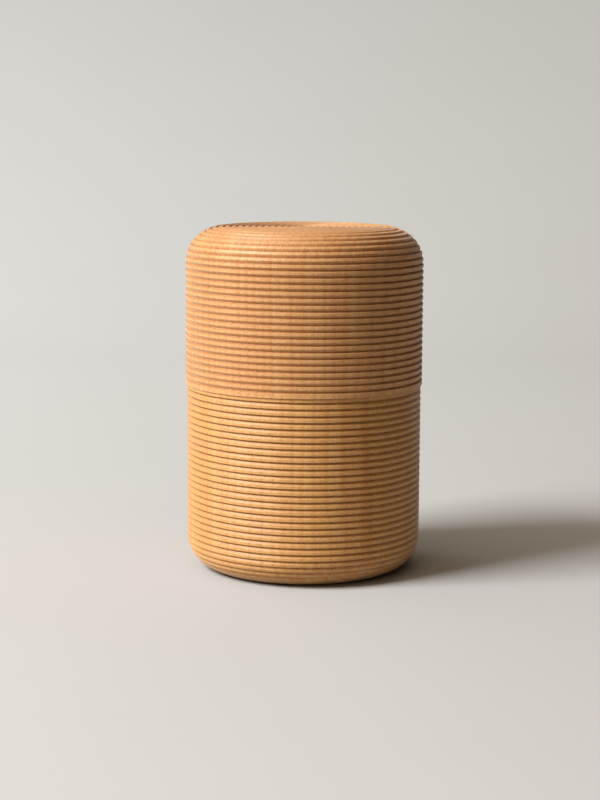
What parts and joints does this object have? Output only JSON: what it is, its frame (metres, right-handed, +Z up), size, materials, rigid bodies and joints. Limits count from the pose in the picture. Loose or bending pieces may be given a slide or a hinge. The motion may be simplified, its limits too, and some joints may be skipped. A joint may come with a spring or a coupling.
{
  "type": "tea caddy",
  "caption": "Turned wooden tea caddy: a cylinder with rounded edges and fine horizontal ribs, with a tall lift-off lid over a plain neck and a knobbed inner lid.",
  "frame": {"origin": "centre of the resting face, on the turning axis", "axes": "+Z up along the turning axis; the caddy is the same all round, so +X and +Y are any two square directions"},
  "size_m": [0.076, 0.076, 0.11],
  "materials": {
    "body_wood": "satin oiled cherry, grain upright",
    "lid_wood": "satin oiled cherry, grain upright",
    "inner_wood": "fine-sanded satin cherry",
    "knob_wood": "fine-sanded satin cherry, a little darker"
  },
  "bodies": {
    "root": {"body": "body_wood"},
    "lid": {"lid": "lid_wood"},
    "inner_lid": {"inner_lid": "inner_wood", "inner_lid_knob": "knob_wood"}
  },
  "joints": [
    {"name": "lid_lift", "type": "slide", "parent": "root", "child": "lid", "axis": [0, 0, 1], "range_m": [0, 0.06]},
    {"name": "inner_lid_lift", "type": "slide", "parent": "root", "child": "inner_lid", "axis": [0, 0, 1], "range_m": [0, 0.01]}
  ]
}
